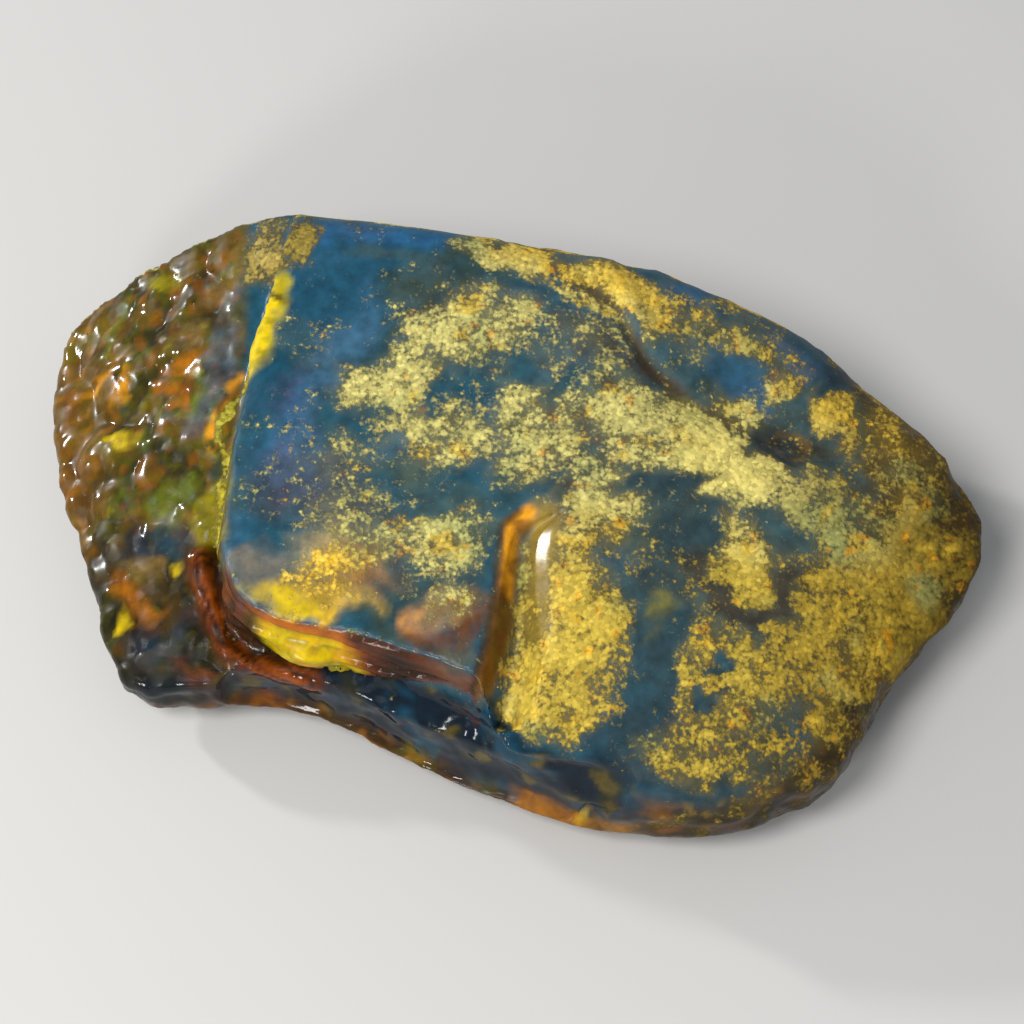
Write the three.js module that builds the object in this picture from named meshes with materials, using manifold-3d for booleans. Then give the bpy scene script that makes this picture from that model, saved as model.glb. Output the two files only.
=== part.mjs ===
// Raw amber piece: one natural lump, as one closed solid.
// Millimetres, +Z up. +X runs along the long side and -Y is the broken front.
// The lump is a flat-topped block. A low rough shelf is broken off round its left end and
// front corner, a short groove comes in from the front, and a lobe falls away to the right.

import * as THREE from 'three';
import { ImprovedNoise } from 'three/addons/math/ImprovedNoise.js';
import { mergeVertices } from 'three/addons/utils/BufferGeometryUtils.js';
import Module from 'manifold-3d';

const wasm = await Module();
wasm.setup();

// ---------- driving dimensions (mm) ----------

const TOP_HEIGHT = 10.6; // height of the top above the middle of the base
const TOP_RISE = 0.09; // rise of the top per mm towards the back
const FALL_START = 2.0; // x where the right lobe starts to fall away
const FALL = 0.0062; // fall of the lobe per mm squared past that
const UNDERSIDE = 0.45; // how far the rounded underside would reach below the base
const BASE_CUT = new THREE.Vector3(80, 60, 8); // block that leaves the flat base

const MIDDLE = new THREE.Vector3(-0.5, -0.5, 0); // where the rings of the mesh close in
const SEGMENTS = 108; // steps round the outline
const TOP_RINGS = 21;
const UNDER_RINGS = 9;
const RING_CROWDING = 0.8; // below 1 spreads the rings away from the middle
const UNDER_POWER = 2.4; // how square the lower edge is

// The widest line round the lump, seen from above, anticlockwise: x, y, height of that line.
const OUTLINE = [
  [25.5, -2.2, 5.4],
  [23.8, 2.2, 6.0],
  [20.0, 6.0, 6.6],
  [15.4, 9.5, 7.0],
  [10.4, 11.8, 7.2],
  [4.6, 13.4, 7.2],
  [-3.0, 14.8, 7.2],
  [-10.0, 15.9, 7.4],
  [-14.9, 15.8, 7.4],
  [-19.3, 14.5, 6.6],
  [-23.6, 13.0, 6.0],
  [-25.4, 9.6, 5.2],
  [-25.0, 4.6, 4.8],
  [-23.4, -0.6, 4.4],
  [-22.2, -4.4, 3.8],
  [-21.2, -8.0, 3.0],
  [-19.8, -9.8, 2.6],
  [-15.4, -10.1, 2.4],
  [-11.6, -10.5, 2.2],
  [-7.0, -12.5, 2.0],
  [-1.6, -15.3, 2.1],
  [3.6, -17.3, 2.2],
  [9.0, -17.9, 2.3],
  [13.6, -17.3, 2.6],
  [17.1, -15.3, 3.0],
  [18.8, -12.4, 3.4],
  [20.6, -9.5, 4.0],
  [23.6, -6.0, 4.6],
];

// The foot of the wall between the block and the shelf: x, y, height of the shelf there.
const WALL_FOOT = [
  [-10.4, 19.0, 10.6],
  [-12.2, 14.2, 10.3],
  [-13.4, 10.0, 9.4],
  [-14.4, 5.0, 8.4],
  [-15.1, 0.0, 7.4],
  [-15.3, -4.0, 6.4],
  [-14.8, -7.6, 5.7],
  [-13.2, -9.1, 5.5],
  [-9.8, -9.9, 5.7],
  [-5.8, -11.1, 6.8],
  [-2.0, -12.5, 7.9],
  [0.2, -16.4, 6.6],
];
const WALL_LEAN = 0.16; // how far the wall leans in for each mm of its height

// The far side of that cut, well clear of the lump: x, y, height the shelf falls to there.
const CUT_REACH = [
  [-14.0, 26.0, 4.0],
  [-32.0, 22.0, -3.0],
  [-36.0, 2.0, -4.0],
  [-31.0, -20.0, -5.0],
  [-14.0, -24.0, -7.0],
  [-2.0, -26.0, -8.0],
];
const SHELF_STEPS = 40;
const SHELF_ROWS = 9;
const CUT_TOP = 17;
const LOBE_CURVE = 1.6; // 1 is a straight slope, and more rounds the left lobe over

// The steep left wall of the groove: x, y, depth below the top.
const GROOVE = [
  [3.4, -2.6, -0.3],
  [2.2, -3.0, 0.3],
  [0.5, -3.8, 0.9],
  [-0.3, -5.8, 1.3],
  [-0.6, -8.6, 1.7],
  [-1.2, -11.2, 2.2],
  [-2.2, -14.6, 2.8],
];
const GROOVE_STEPS = 22;
const GROOVE_ROWS = 5;
const GROOVE_WIDTH = 3.4;
const GROOVE_SKEW = 0.4; // how far the gentle side lies nearer the front
const GROOVE_LEAN = 0.6; // how far its wall runs out to the right for each mm of depth
const GROOVE_CLEAR = 0.3; // how far the cut's right edge stands above the top

// Shallow dents in the top: x, y, half length, half width, turn in degrees, depth.
const DENTS = [
  [12.5, 5.2, 6.4, 2.9, -36, 1.15],
  [10.6, -4.2, 2.6, 2.2, 0, 0.35],
  [-3.0, 4.0, 7.0, 4.0, 20, 0.3],
];

const ROUGHNESS_SIZE = 5.5; // width of the broad unevenness
const ROUGHNESS_HEIGHT = 0.3;

// ---------- shape helpers ----------

const noise = new ImprovedNoise();

function curveThrough(points, closed) {
  const vectors = points.map(([x, y, z]) => new THREE.Vector3(x, y, z));
  return new THREE.CatmullRomCurve3(vectors, closed, 'centripetal');
}

function dentDepth(x, y) {
  let depth = 0;
  for (const [cx, cy, long, wide, turn, deep] of DENTS) {
    const offset = new THREE.Vector2(x - cx, y - cy);
    offset.rotateAround(new THREE.Vector2(), THREE.MathUtils.degToRad(-turn));
    depth += deep * Math.exp(-((offset.x / long) ** 2) - (offset.y / wide) ** 2);
  }
  return depth;
}

function topHeight(x, y) {
  const fall = FALL * Math.max(0, x - FALL_START) ** 2;
  return TOP_HEIGHT + TOP_RISE * y - fall - dentDepth(x, y);
}

// How square the edge between top and side is: crisp along the block, soft at both ends.
function edgePower(edge) {
  const back = THREE.MathUtils.smoothstep(edge.y, 7, 13);
  const front = THREE.MathUtils.smoothstep(-edge.y, 4, 14);
  const wall = THREE.MathUtils.smoothstep(-edge.y, 6, 10.5);
  const block = 1 - THREE.MathUtils.smoothstep(edge.x, -7, 4);
  return 2.8 + 3.0 * back + 1.2 * front + 7.0 * wall * block;
}

function rounded(spread, power) {
  return Math.max(0, 1 - spread ** power) ** (1 / power);
}

// Broad unevenness of the skin, the same at the same place however the mesh is cut.
function roughen(point) {
  const p = point.clone().divideScalar(ROUGHNESS_SIZE);
  const shift = new THREE.Vector3(
    noise.noise(p.x, p.y, p.z),
    noise.noise(p.x + 19, p.y, p.z),
    noise.noise(p.x, p.y + 31, p.z),
  );
  return point.add(shift.multiplyScalar(ROUGHNESS_HEIGHT));
}

function toSolid(geometry) {
  const bare = new THREE.BufferGeometry();
  bare.setAttribute('position', geometry.getAttribute('position').clone());
  bare.setIndex(geometry.getIndex().clone());
  const merged = mergeVertices(bare, 1e-4);
  const old = merged.getIndex().array;
  const corners = [];
  for (let i = 0; i < old.length; i += 3) {
    const [a, b, c] = [old[i], old[i + 1], old[i + 2]];
    if (a !== b && b !== c && c !== a) corners.push(a, b, c);
  }
  return new wasm.Manifold(new wasm.Mesh({
    numProp: 3,
    vertProperties: merged.getAttribute('position').array,
    triVerts: new Uint32Array(corners),
  }));
}

function toGeometry(solid) {
  const mesh = solid.getMesh();
  const geometry = new THREE.BufferGeometry();
  geometry.setAttribute('position', new THREE.Float32BufferAttribute(mesh.vertProperties, 3));
  geometry.setIndex(Array.from(mesh.triVerts));
  return geometry;
}

// ---------- the solids ----------

// A lathe gives the rings and steps, and each point is then moved onto the outline.
function lump() {
  const rings = [];
  for (let j = 0; j <= UNDER_RINGS; j += 1) rings.push({ turn: j / UNDER_RINGS, top: false });
  for (let j = TOP_RINGS - 1; j >= 0; j -= 1) rings.push({ turn: j / TOP_RINGS, top: true });
  const profile = rings.map((ring) => new THREE.Vector2(ring.turn, ring.top ? 1 : -1));
  const geometry = new THREE.LatheGeometry(profile, SEGMENTS);
  const outline = curveThrough(OUTLINE, true);
  const position = geometry.getAttribute('position');
  for (let i = 0; i <= SEGMENTS; i += 1) {
    const edge = outline.getPointAt((i % SEGMENTS) / SEGMENTS);
    rings.forEach((ring, j) => {
      const spread = Math.sin(ring.turn * Math.PI / 2) ** RING_CROWDING;
      const point = MIDDLE.clone().lerp(edge, spread);
      if (ring.top) {
        const lift = rounded(spread, edgePower(edge));
        point.z = THREE.MathUtils.lerp(edge.z, topHeight(point.x, point.y), lift);
      } else {
        point.z = edge.z - (edge.z + UNDERSIDE) * rounded(spread, UNDER_POWER);
      }
      roughen(point);
      position.setXYZ(i * rings.length + j, point.x, point.y, point.z);
    });
  }
  return toSolid(geometry);
}

// A grid box bent so that its inner side follows the wall and its floor is the shelf.
function shelfCut() {
  const geometry = new THREE.BoxGeometry(1, 1, 1, SHELF_STEPS, SHELF_ROWS, 1);
  const wall = curveThrough(WALL_FOOT, false);
  const reach = curveThrough(CUT_REACH, false);
  const position = geometry.getAttribute('position');
  for (let i = 0; i < position.count; i += 1) {
    const along = 0.5 - position.getX(i);
    const out = (position.getY(i) + 0.5) ** 1.4;
    const foot = wall.getPointAt(along);
    const far = reach.getPointAt(along);
    const point = foot.clone().lerp(far, out);
    const curve = THREE.MathUtils.lerp(LOBE_CURVE, 1, THREE.MathUtils.smoothstep(along, 0.5, 0.75));
    point.z = THREE.MathUtils.lerp(foot.z, far.z, out ** curve);
    if (position.getZ(i) < 0) {
      roughen(point);
    } else {
      const outward = foot.clone().setZ(0).normalize();
      point.addScaledVector(outward, -WALL_LEAN * (CUT_TOP - foot.z) * (1 - out));
      point.z = CUT_TOP;
    }
    position.setXYZ(i, point.x, point.y, point.z);
  }
  return toSolid(geometry);
}

// A wedge along the groove: deep at its left wall, running out to nothing on the right.
function grooveCut() {
  const geometry = new THREE.BoxGeometry(1, 1, 1, GROOVE_STEPS, GROOVE_ROWS, 1);
  const wall = curveThrough(GROOVE, false);
  const position = geometry.getAttribute('position');
  for (let i = 0; i < position.count; i += 1) {
    const along = position.getX(i) + 0.5;
    const across = position.getY(i) + 0.5;
    const start = wall.getPointAt(along);
    const under = start.z * (1 - across) ** 1.2 - GROOVE_CLEAR * across;
    const floorX = start.x + Math.max(0, start.z) * GROOVE_LEAN;
    const x = floorX + across * GROOVE_WIDTH * Math.sqrt(along + 0.05);
    const y = start.y - across * GROOVE_SKEW;
    const surface = topHeight(x, y);
    if (position.getZ(i) < 0) {
      position.setXYZ(i, x, y, surface - under);
    } else {
      position.setXYZ(i, x - GROOVE_LEAN * (CUT_TOP - surface + under), y, CUT_TOP);
    }
  }
  return toSolid(geometry);
}

function baseCut() {
  const geometry = new THREE.BoxGeometry(BASE_CUT.x, BASE_CUT.y, BASE_CUT.z);
  geometry.translate(0, 0, -BASE_CUT.z / 2);
  return toSolid(geometry);
}

function amberGeometry() {
  let solid = lump();
  solid = solid.subtract(shelfCut());
  solid = solid.subtract(grooveCut());
  solid = solid.subtract(baseCut());
  const geometry = toGeometry(solid);
  geometry.computeBoundingBox();
  const middle = geometry.boundingBox.getCenter(new THREE.Vector3());
  geometry.translate(-middle.x, -middle.y, -geometry.boundingBox.min.z);
  geometry.computeVertexNormals();
  return geometry;
}

const material = new THREE.MeshStandardMaterial({
  color: 0x8a7a35,
  roughness: 0.35,
  metalness: 0,
});

const amber = new THREE.Mesh(amberGeometry(), material);
amber.name = 'raw_amber';

const piece = new THREE.Group();
piece.add(amber);

export default piece;
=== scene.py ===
"""The looks of a raw amber piece: its broken skin, its colours and crust, and what is sealed in it.

Lengths in the tables are millimetres in the part's own frame: +X to the thin end, -Y to the
broken front, +Z up from the flat base. Meshes are made in metres.
"""

import math

import bmesh
import bpy
import numpy as np
from mathutils import Euler, Matrix, Vector, noise


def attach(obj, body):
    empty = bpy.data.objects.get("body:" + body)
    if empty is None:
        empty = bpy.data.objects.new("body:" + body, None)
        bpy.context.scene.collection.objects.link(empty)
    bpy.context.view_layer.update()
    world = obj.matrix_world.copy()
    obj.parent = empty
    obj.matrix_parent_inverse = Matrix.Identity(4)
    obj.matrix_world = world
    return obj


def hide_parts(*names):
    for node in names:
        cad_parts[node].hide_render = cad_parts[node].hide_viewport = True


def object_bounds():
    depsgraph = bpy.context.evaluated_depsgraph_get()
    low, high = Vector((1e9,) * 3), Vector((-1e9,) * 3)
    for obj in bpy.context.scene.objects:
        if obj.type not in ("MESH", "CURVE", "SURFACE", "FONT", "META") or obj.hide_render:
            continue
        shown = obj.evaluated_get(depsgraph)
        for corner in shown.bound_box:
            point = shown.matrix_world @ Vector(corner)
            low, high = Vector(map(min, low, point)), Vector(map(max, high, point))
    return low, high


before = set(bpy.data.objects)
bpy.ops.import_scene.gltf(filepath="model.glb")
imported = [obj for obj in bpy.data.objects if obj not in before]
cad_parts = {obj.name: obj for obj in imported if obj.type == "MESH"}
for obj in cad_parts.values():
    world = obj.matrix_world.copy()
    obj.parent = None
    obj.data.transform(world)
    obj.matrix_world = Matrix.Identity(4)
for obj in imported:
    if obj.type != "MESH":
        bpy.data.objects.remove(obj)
cad_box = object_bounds()
MM = 0.001

# ---------- the lines and places that the looks hang on (mm) ----------

# Top edge of the block where the shelf breaks away from it: the left side, then the front.
LEFT_EDGE = [(-11.0, 17.5), (-11.6, 15.4), (-12.4, 13.2), (-13.0, 11.1), (-13.6, 7.5),
             (-14.3, 4.5), (-14.6, 1.5), (-14.7, -1.4), (-14.7, -4.8), (-14.5, -6.8)]
FRONT_EDGE = [(-14.5, -6.8), (-12.9, -7.7), (-10.9, -8.3), (-8.4, -8.9), (-5.8, -9.8),
              (-3.7, -10.7), (-2.2, -11.5)]
# A clear yellow seam on the block's left edge, painted bright as a glow of light through it, and where
# it runs on down the shelf.
RIDGE_SEAM = [(-12.8, 11.5), (-13.0, 10.6), (-13.3, 9.5), (-13.6, 8.2), (-14.0, 6.9)]
SHELF_SEAM = [(-14.8, 7.4), (-15.4, 6.3), (-16.0, 5.0), (-16.1, 3.2)]
# A pale line of crust at the foot of the left wall.
FOOT_CRUST = [(-14.8, 6.9), (-15.3, 5.2), (-15.4, 3.2), (-15.4, 1.0), (-15.2, -2.0), (-15.1, -4.4)]
# The rust-coloured band along the shelf, and the slot between it and the front wall, painted dark as
# shade.
RUST_BAND = [(-16.4, -3.0, 6.4), (-15.9, -4.9, 6.0), (-15.4, -6.3, 5.7), (-14.6, -7.5, 5.4),
             (-13.6, -8.4, 5.2), (-12.5, -9.0, 5.0), (-11.0, -9.8, 4.7)]
RECESS = [(-15.6, -2.6, 6.5), (-15.0, -5.2, 6.4), (-14.4, -6.9, 6.0), (-13.4, -7.9, 5.6),
          (-12.4, -8.6, 5.4)]
# The amber left wall of the groove, painted bright as a glow of light through it, and the lip on its
# right that catches the light.
GROOVE_WALL = [(0.9, -2.1), (0.0, -2.9), (-0.2, -5.0), (-0.4, -7.0), (-0.8, -9.4), (-1.4, -11.4)]
GROOVE_LIP = [(1.9, -2.4), (1.6, -4.6), (1.4, -6.4), (1.2, -8.4)]
# A low step in the top, from the back edge down to the thin end.
STEP = [(2.6, 12.5), (4.2, 11.5), (5.5, 10.6), (6.2, 9.2), (7.0, 7.5), (8.2, 6.0), (9.5, 4.9),
        (11.1, 4.3), (12.5, 3.9)]
# Edge of the crust on the front of the right lobe.
LOBE_EDGE = [(-2.0, -11.4), (-1.0, -11.8), (-0.4, -12.9), (0.9, -14.2), (3.4, -14.9),
             (5.5, -14.6), (9.5, -15.0)]

# Where shell-shaped flakes broke out of the lower front face: the line that they follow, x, y, z.
FLAKE_LINE = [(-12.6, -9.6, 4.2), (-9.4, -10.2, 4.6), (-6.9, -11.2, 5.2), (-4.7, -12.0, 5.8),
              (-3.0, -13.3, 5.2), (-0.4, -14.6, 5.2), (3.0, -15.6, 4.6)]
# Small pits in the skin of the thin end and the right lobe: x, y, radius, depth.
PITS = [(10.6, -10.5, 0.8, 0.30), (10.2, -12.2, 0.7, 0.20), (15.6, -5.1, 0.8, 0.30),
        (17.5, -3.7, 0.6, 0.25), (18.9, -6.7, 0.7, 0.30), (19.1, -7.9, 0.8, 0.30),
        (20.7, -5.6, 0.9, 0.30), (15.4, -6.5, 0.6, 0.20), (20.2, 1.4, 0.6, 0.25),
        (20.4, -0.7, 0.7, 0.25), (23.0, -0.4, 0.6, 0.25), (24.1, 0.6, 0.6, 0.20),
        (10.0, 5.8, 0.5, 0.20), (10.8, 5.8, 0.4, 0.20), (18.6, -10.4, 0.8, 0.30)]
RING_PIT = (15.0, 3.3)  # an oval hollow with low rings round it

KNOB = 1.35  # spacing of the small knobs on the left lobe
VOXEL = 0.207  # size of the faces of the even skin
FLAKES = 150  # how many flake scars the lower front has
DEEPEST_CUT = 0.70  # how far the flake scars may cut into the skin in all
BUBBLES = 70
SPECKS = 90
FLOOR = 600  # half the side of the floor

# ---------- colours ----------

PALETTE = {
    # the blue that the clear amber shows over its dark inside
    "teal": "#1f5364", "blue": "#2c6484", "vivid blue": "#276494", "light blue": "#5a82a4",
    "deep teal": "#104a60", "shade teal": "#30444a", "dark green": "#34453a",
    "grey green": "#4c5c50", "purple": "#4c4464", "deep blue": "#12293c", "night blue": "#0c1a26",
    "blue grey": "#5a6c7a",
    # the honey and brown of the broken faces
    "honey": "#8c6410", "olive": "#6a6410", "amber brown": "#b4680a", "dark olive": "#34320e",
    "leaf green": "#6c7c1c", "leaf yellow": "#a89a10", "tan": "#90703a", "brown": "#4a3414",
    "dark brown": "#2c1c0c", "rust": "#ba580a", "rust brown": "#6e3c12", "amber orange": "#e69a12",
    "bright yellow": "#e8c600", "orange": "#d07408", "wash orange": "#e09c54",
    "wash tan": "#dcc080", "grey tan": "#94846c", "gold wash": "#f2c030", "red brown": "#7a3808",
    "rim brown": "#4c3410", "rim gold": "#a8680c", "rim olive": "#6c5a1a",
    # the crust
    "pale crust": "#d2c674", "crust": "#c8ac42", "ochre crust": "#ac8e2e", "green crust": "#96a064",
    "corner crust": "#a08a3c", "bright crust": "#e2cf70", "gold crust": "#d2ac34",
    "brown crust": "#7c6418",
}

KNOB_COLOURS = ("olive", "honey", "dark olive", "brown", "olive", "grey green", "leaf green",
                "dark olive", "amber brown", "olive", "tan", "leaf yellow")

# Colour under the crust: x, y, half length, half width, turn in degrees, strength, colour.
TOP_PATCHES = [
    (11.0, 0.0, 11.0, 13.0, 0, 0.65, "grey green"), (-9.7, 11.5, 3.8, 3.6, 0, 0.55, "blue"),
    (-6.5, 14.8, 4.0, 1.0, -4, 0.90, "vivid blue"), (-10.7, 14.6, 1.6, 0.9, 0, 0.70, "vivid blue"),
    (-3.1, 12.3, 4.4, 1.7, 22, 0.90, "dark green"), (-6.3, 9.0, 2.6, 1.2, 36, 0.75, "dark green"),
    (-8.6, 11.6, 3.2, 1.0, 12, 0.55, "deep teal"), (-7.4, 13.2, 1.8, 0.6, -8, 0.60, "grey green"),
    (-11.9, 10.8, 0.8, 2.2, -10, 0.60, "deep teal"), (-4.6, 10.2, 1.6, 0.7, 30, 0.60, "brown"),
    (-9.9, 7.2, 1.3, 4.2, -28, 0.45, "light blue"), (-11.6, 2.6, 1.4, 3.0, -10, 0.75, "vivid blue"),
    (-13.1, 5.2, 0.9, 2.4, -12, 0.95, "deep teal"), (-12.2, 4.6, 0.7, 2.0, -20, 0.50, "purple"),
    (-11.2, -0.1, 3.2, 2.2, 0, 0.55, "purple"), (-12.8, -1.0, 1.2, 2.0, 0, 0.60, "deep blue"),
    (-8.6, -2.0, 2.4, 1.6, 0, 0.50, "purple"), (-3.8, -1.6, 3.4, 0.9, 10, 0.65, "grey green"),
    (-6.2, -7.0, 1.8, 1.9, 0, 0.80, "dark green"), (-9.7, -4.4, 2.6, 1.5, 0, 0.75, "wash tan"),
    (-8.0, -6.0, 2.2, 1.2, 0, 0.75, "wash orange"), (-13.4, -5.2, 0.9, 1.3, 0, 0.75, "grey tan"),
    (-13.6, -6.7, 1.0, 0.8, -30, 0.85, "blue grey"), (-10.9, -6.3, 2.4, 0.9, -4, 0.90, "gold wash"),
    (-11.2, -7.2, 2.0, 0.6, 0, 0.95, "bright yellow"),
    (-8.9, -7.3, 2.0, 0.7, -6, 0.90, "gold wash"), (-4.8, -8.2, 0.9, 1.0, 30, 0.90, "wash orange"),
    (-3.2, -7.6, 1.5, 1.0, -20, 0.60, "wash orange"), (-2.0, -7.9, 1.3, 1.7, 0, 0.90, "rust brown"),
    (-7.8, -8.3, 1.2, 0.6, -12, 0.90, "dark green"), (-5.7, -9.1, 1.6, 0.6, -20, 0.85, "grey green"),
    (-4.2, -9.4, 1.6, 0.7, -22, 0.80, "rust brown"), (-2.9, -9.4, 1.1, 1.3, 0, 0.85, "rust brown"),
    (-11.8, -6.5, 2.3, 0.8, -6, 0.95, "bright yellow"), (-8.6, -4.4, 1.6, 1.0, 0, 0.60, "wash orange"),
    (-2.9, -10.0, 1.4, 0.9, 10, 0.85, "grey green"), (-1.8, -12.0, 1.0, 1.0, 0, 1.00, "night blue"),
    (4.0, 8.2, 1.5, 1.5, 0, 0.60, "brown"), (6.4, 7.4, 2.4, 0.9, -40, 0.75, "brown"),
    (9.5, 11.3, 1.6, 0.8, -22, 0.80, "vivid blue"), (11.0, 7.2, 3.0, 1.3, -20, 0.75, "blue"),
    (12.9, 5.6, 1.4, 0.7, -15, 0.70, "vivid blue"), (15.4, 8.5, 1.8, 1.1, -28, 0.70, "vivid blue"),
    (12.1, 10.4, 3.0, 1.1, -24, 0.50, "teal"), (17.9, 7.4, 1.5, 1.1, -28, 0.85, "deep blue"),
    (15.0, 3.3, 2.5, 1.6, -12, 0.90, "dark brown"), (20.6, 3.8, 1.6, 3.6, 42, 0.85, "olive"),
    # The blue-grey patch at (23.2, 1.0) is a painted sheen on the glassy tip
    (19.7, 6.5, 1.3, 1.3, 0, 0.80, "brown"), (23.2, 1.0, 1.3, 1.4, 0, 0.75, "blue grey"),
    (24.2, -0.6, 0.9, 1.6, 0, 0.80, "brown"), (21.9, -4.3, 0.9, 0.9, 0, 0.80, "amber orange"),
    (23.4, -3.0, 0.9, 2.0, -12, 0.80, "olive"), (12.7, -3.0, 1.6, 1.0, 0, 0.60, "brown"),
    (13.6, -14.8, 2.0, 1.1, 0, 0.70, "dark olive"), (17.2, -12.6, 1.2, 1.7, -34, 0.70, "olive"),
    (5.5, -14.6, 3.0, 0.9, 20, 0.50, "deep blue"), (7.6, -8.6, 1.6, 5.4, -8, 0.85, "shade teal"),
    (8.2, -0.3, 3.4, 1.2, 16, 0.80, "shade teal"), (3.4, 1.0, 4.0, 4.0, 0, 0.55, "shade teal"),
    (8.8, -13.6, 4.6, 2.2, 6, 1.00, "shade teal"), (9.6, -16.0, 5.4, 1.7, 4, 0.95, "shade teal"),
    (-5.3, 0.4, 1.9, 0.8, 0, 0.85, "grey green"), (7.5, -7.9, 0.8, 0.9, 0, 0.50, "leaf yellow"),
    (9.2, -2.9, 1.4, 2.4, 0, 0.70, "shade teal"),
]
LOBE_PATCHES = [
    (-15.0, 12.6, 0.8, 1.8, -25, 0.75, "blue grey"), (-16.0, 8.7, 1.2, 2.4, -25, 0.80, "blue grey"),
    (-17.2, 5.4, 0.9, 1.7, -25, 0.65, "blue grey"),
    (-18.1, 8.8, 0.7, 1.0, -23, 0.90, "amber brown"),
    (-21.2, 8.1, 0.5, 1.1, -23, 0.90, "amber orange"),
    (-22.6, 8.9, 0.8, 0.5, 34, 0.90, "amber orange"),
    (-18.9, 7.2, 0.9, 0.5, -49, 0.80, "amber brown"),
    (-18.3, 6.1, 0.5, 0.6, 0, 0.80, "amber brown"), (-17.5, 6.7, 0.5, 0.6, 0, 0.85, "leaf green"),
    (-17.9, 7.9, 0.3, 0.8, 0, 0.80, "leaf green"), (-19.4, 14.2, 0.7, 0.7, 0, 0.80, "leaf yellow"),
    (-21.8, 12.2, 0.5, 1.8, -12, 0.75, "leaf green"),
    (-21.3, 4.2, 0.5, 0.5, 0, 1.00, "bright yellow"),
    (-18.3, 0.5, 1.4, 0.8, 23, 0.85, "leaf green"), (-16.1, -0.5, 0.8, 0.9, 0, 0.80, "leaf yellow"),
    (-19.5, -3.3, 1.0, 0.8, 0, 0.80, "tan"), (-20.6, -4.2, 0.7, 0.7, 0, 0.80, "amber brown"),
    (-19.4, -4.8, 0.7, 0.7, 0, 0.80, "amber brown"), (-19.6, -1.5, 1.9, 1.3, 10, 0.90, "deep blue"),
    (-18.0, -1.4, 1.2, 1.4, 0, 0.60, "deep teal"), (-19.4, -6.9, 1.5, 1.1, -23, 0.85, "deep blue"),
    (-18.0, -7.9, 1.4, 0.9, 0, 0.80, "deep blue"), (-17.2, -6.0, 0.8, 1.4, 0, 0.80, "deep blue"),
    (-20.9, -5.4, 0.5, 0.5, 0, 0.90, "bright yellow"),
    (-17.6, -3.1, 0.5, 0.5, 0, 0.90, "bright yellow"), (-14.2, 15.6, 1.6, 1.2, 34, 0.80, "tan"),
    (-16.0, 13.2, 1.0, 1.0, 0, 0.70, "tan"), (-15.9, 10.9, 0.8, 0.8, 0, 0.80, "brown"),
    (-17.6, 11.0, 1.0, 1.0, 0, 0.60, "tan"), (-23.3, 12.0, 0.7, 1.8, -34, 0.60, "olive"),
    (-24.1, 7.0, 0.6, 3.0, 0, 0.70, "rust brown"), (-23.4, 2.0, 0.7, 2.5, 23, 0.60, "rust brown"),
    (-22.9, 5.0, 0.8, 2.0, 10, 0.50, "honey"), (-20.0, 3.0, 1.4, 1.0, 0, 0.50, "dark olive"),
    (-15.2, 0.2, 0.5, 1.6, 0, 0.80, "leaf yellow"), (-15.1, -2.6, 0.5, 1.0, 0, 0.80, "leaf yellow"),
    (-15.5, -8.9, 1.6, 0.6, -12, 0.80, "rust"), (-18.7, -9.2, 1.8, 0.6, -12, 0.70, "dark brown"),
    (-14.6, -10.0, 1.2, 0.6, -12, 0.60, "red brown"),
]
FRONT_PATCHES = [
    (-5.4, -12.6, 1.8, 0.7, -23, 0.60, "olive"), (-3.0, -14.1, 1.4, 0.7, -28, 0.60, "olive"),
    (-0.4, -14.4, 2.0, 0.7, -9, 0.70, "deep teal"), (-1.8, -12.2, 1.6, 1.2, -12, 0.60, "deep blue"),
    (-10.2, -9.0, 2.0, 0.6, -23, 0.70, "olive"), (-13.0, -10.3, 1.6, 0.8, -20, 0.60, "red brown"),
    (2.9, -15.8, 0.5, 0.6, 0, 0.95, "bright yellow"), (4.7, -16.2, 1.8, 0.7, 0, 0.80, "dark olive"),
    (12.0, -15.8, 1.0, 0.6, 0, 0.80, "amber orange"),
    (7.6, -16.8, 3.3, 0.7, -6, 0.70, "amber orange"), (2.0, -15.9, 2.4, 0.5, -23, 0.75, "rim gold"),
    (15.0, -15.6, 1.8, 1.0, 23, 0.60, "leaf yellow"),
]
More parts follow.
